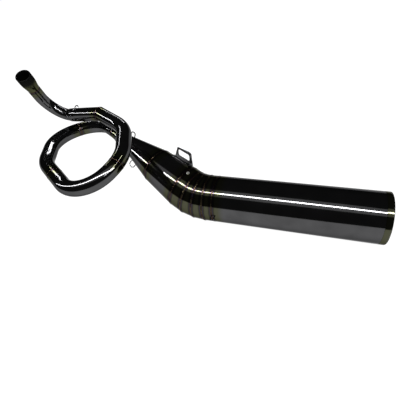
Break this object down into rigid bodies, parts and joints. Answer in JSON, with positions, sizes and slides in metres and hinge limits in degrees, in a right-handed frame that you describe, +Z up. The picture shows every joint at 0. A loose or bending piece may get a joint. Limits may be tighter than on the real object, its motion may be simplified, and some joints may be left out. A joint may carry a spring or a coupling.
{
  "type": "racing exhaust system",
  "caption": "Slip-jointed race exhaust: curved header pipe, looped tube, megaphone cones with a mitred bend and a long round silencer can with a slotted hanger.",
  "frame": {"origin": "centre of the header's inlet mouth, where the pipe meets the cylinder head's exhaust port", "axes": "+X along the silencer can towards its tail, +Z up, -Y the side that the loop's near bend and the hanger's foot face"},
  "size_m": [0.9888, 0.3425, 0.3792],
  "materials": {
    "dark_polished_steel": "dark polished",
    "heat_tinted_steel": "dark polished with heat tint",
    "sooted_steel": "blackened by soot",
    "plain_steel_wire": "satin",
    "inner_steel": "dull",
    "packing_wool": "fibrous wool"
  },
  "bodies": {
    "header": {"inlet_collar": "sooted_steel", "header_pipe": "dark_polished_steel", "header_hook_near": "plain_steel_wire", "header_hook_far": "plain_steel_wire"},
    "loop": {"loop_inlet_socket": "dark_polished_steel", "loop_entry_pipe": "dark_polished_steel", "loop_bend_right": "dark_polished_steel", "loop_bend_near": "dark_polished_steel", "loop_bend_left": "dark_polished_steel", "loop_bend_back": "dark_polished_steel", "loop_outlet_spigot": "dark_polished_steel", "loop_inlet_hook_near": "plain_steel_wire", "loop_inlet_hook_far": "plain_steel_wire", "loop_outlet_hook_upper": "plain_steel_wire", "loop_outlet_hook_lower": "plain_steel_wire"},
    "silencer": {"silencer_inlet_socket": "dark_polished_steel", "inlet_cone": "dark_polished_steel", "front_cone": "dark_polished_steel", "bend_segment_1": "heat_tinted_steel", "bend_segment_2": "heat_tinted_steel", "bend_segment_3": "heat_tinted_steel", "bend_segment_4": "heat_tinted_steel", "can_shell": "dark_polished_steel", "tail_ring": "heat_tinted_steel", "core_front_disc": "inner_steel", "core_end_disc": "inner_steel", "perforated_core": "inner_steel", "packing_wool": "packing_wool", "hanger_bracket": "dark_polished_steel", "sampling_plug": "plain_steel_wire", "cone_hook_upper": "plain_steel_wire", "cone_hook_lower": "plain_steel_wire", "can_hook": "plain_steel_wire"}
  },
  "joints": [
    {"name": "header_slip_joint", "type": "hinge", "parent": "header", "child": "loop", "pos_m": [0.04885, 0.04778, -0.14401], "axis": [0.9706, -0.185, 0.1537], "range_deg": [-20, 20]},
    {"name": "megaphone_slip_joint", "type": "hinge", "parent": "loop", "child": "silencer", "pos_m": [0.20225, 0.04117, -0.20729], "axis": [0.8669, -0.3846, -0.3171], "range_deg": [-15, 15]}
  ]
}
